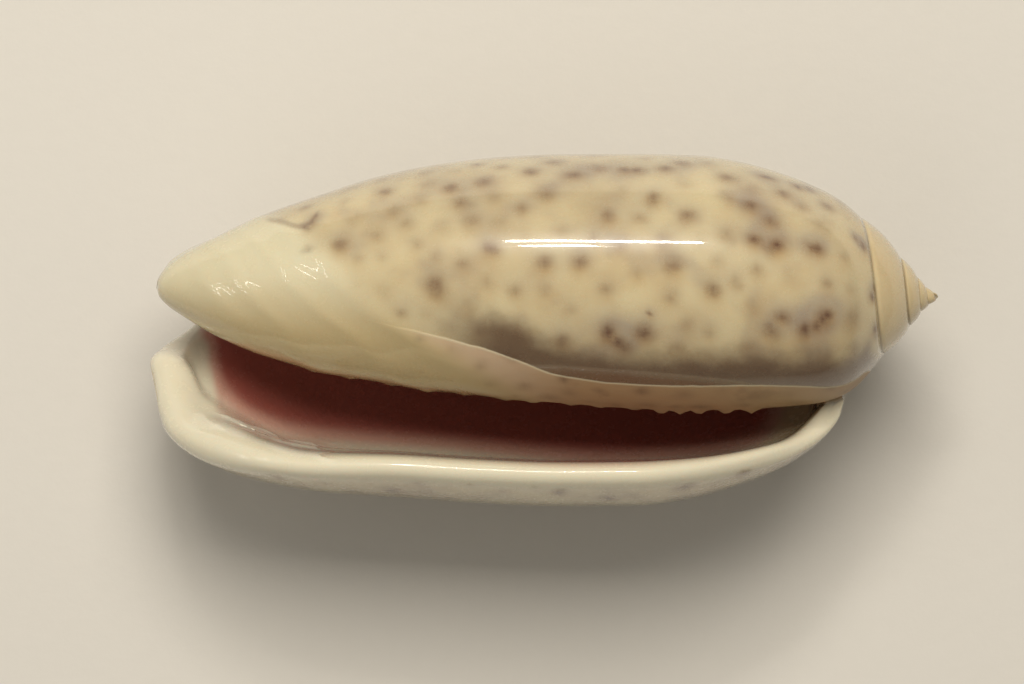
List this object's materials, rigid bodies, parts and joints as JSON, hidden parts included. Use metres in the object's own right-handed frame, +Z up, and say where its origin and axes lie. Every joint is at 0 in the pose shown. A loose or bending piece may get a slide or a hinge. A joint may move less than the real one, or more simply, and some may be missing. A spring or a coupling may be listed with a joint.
{
  "type": "olive shell",
  "caption": "Spiral sea shell, long and glossy, with a short pointed spire, a narrow full-length aperture and a folded callus round its tip, lying on its back.",
  "frame": {"origin": "middle of the shell's length and width, at the height of the small flat it rests on", "axes": "+X along the shell's axis towards the spire's point, +Z up towards the aperture side, +Y away from the free outer lip"},
  "size_m": [0.05, 0.0222, 0.0189],
  "materials": {
    "shell": "glossy natural shell, cream with brown-grey spots"
  },
  "bodies": {
    "root": {"shell": "shell"}
  },
  "joints": []
}
